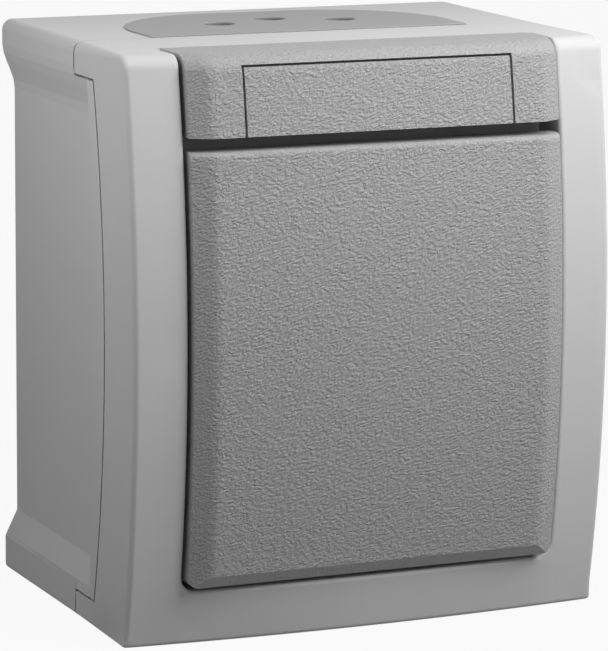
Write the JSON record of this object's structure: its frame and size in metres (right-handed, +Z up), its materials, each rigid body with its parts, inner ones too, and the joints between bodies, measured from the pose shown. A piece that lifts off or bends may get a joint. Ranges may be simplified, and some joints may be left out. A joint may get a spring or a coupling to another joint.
{
  "type": "outdoor weatherproof switch",
  "caption": "Surface-mounted weatherproof switch: waisted grey wall box, bowed cover, grained tilting key under a label header, soft cable entry on top.",
  "frame": {"origin": "middle of the flat back that lies on the wall", "axes": "X to the right of someone facing the switch, Y into the wall, Z up"},
  "size_m": [0.066, 0.051, 0.0755],
  "materials": {
    "light_grey_plastic": "smooth satin moulding",
    "dark_grey_plastic": "fine leather grain",
    "grey_rubber": "soft matte",
    "black_rubber": "matte",
    "white_plastic": "plain moulding",
    "steel": "zinc plated",
    "brass": "stamped",
    "silver_alloy": "plain"
  },
  "bodies": {
    "box": {"base_box": "light_grey_plastic", "front_frame": "light_grey_plastic", "frame_gasket": "black_rubber", "header_panel": "dark_grey_plastic", "label_cover": "dark_grey_plastic", "entry_membrane": "grey_rubber", "sealing_diaphragm": "black_rubber", "return_spring": "steel", "mechanism_housing": "white_plastic", "contact_base": "white_plastic", "fixed_contacts": "brass", "contact_rivets": "silver_alloy", "terminal_clamps": "brass", "terminal_screws": "steel", "mounting_strap": "steel", "strap_screws": "steel", "strap_rivets": "brass", "cover_screws": "steel", "screw_seals": "black_rubber"},
    "key": {"rocker": "dark_grey_plastic", "pivot_pins": "steel"},
    "pusher": {"plunger": "white_plastic", "contact_bridge": "brass", "bridge_rivets": "silver_alloy"}
  },
  "joints": [
    {"name": "key_tilt", "type": "hinge", "parent": "box", "child": "key", "pos_m": [0, -0.0446, 0.021], "axis": [1, 0, 0], "range_deg": [0, 3.2], "stiffness_Nm_per_rad": 0.6, "springref_deg": -6.3},
    {"name": "pusher_slide", "type": "slide", "parent": "box", "child": "pusher", "axis": [0, 1, 0], "range_m": [0, 0.00146], "deforming": ["return_spring", "sealing_diaphragm"]}
  ],
  "couplings": [
    {"joint": "pusher_slide", "follows": "key_tilt", "m_per_rad": 0.026}
  ]
}
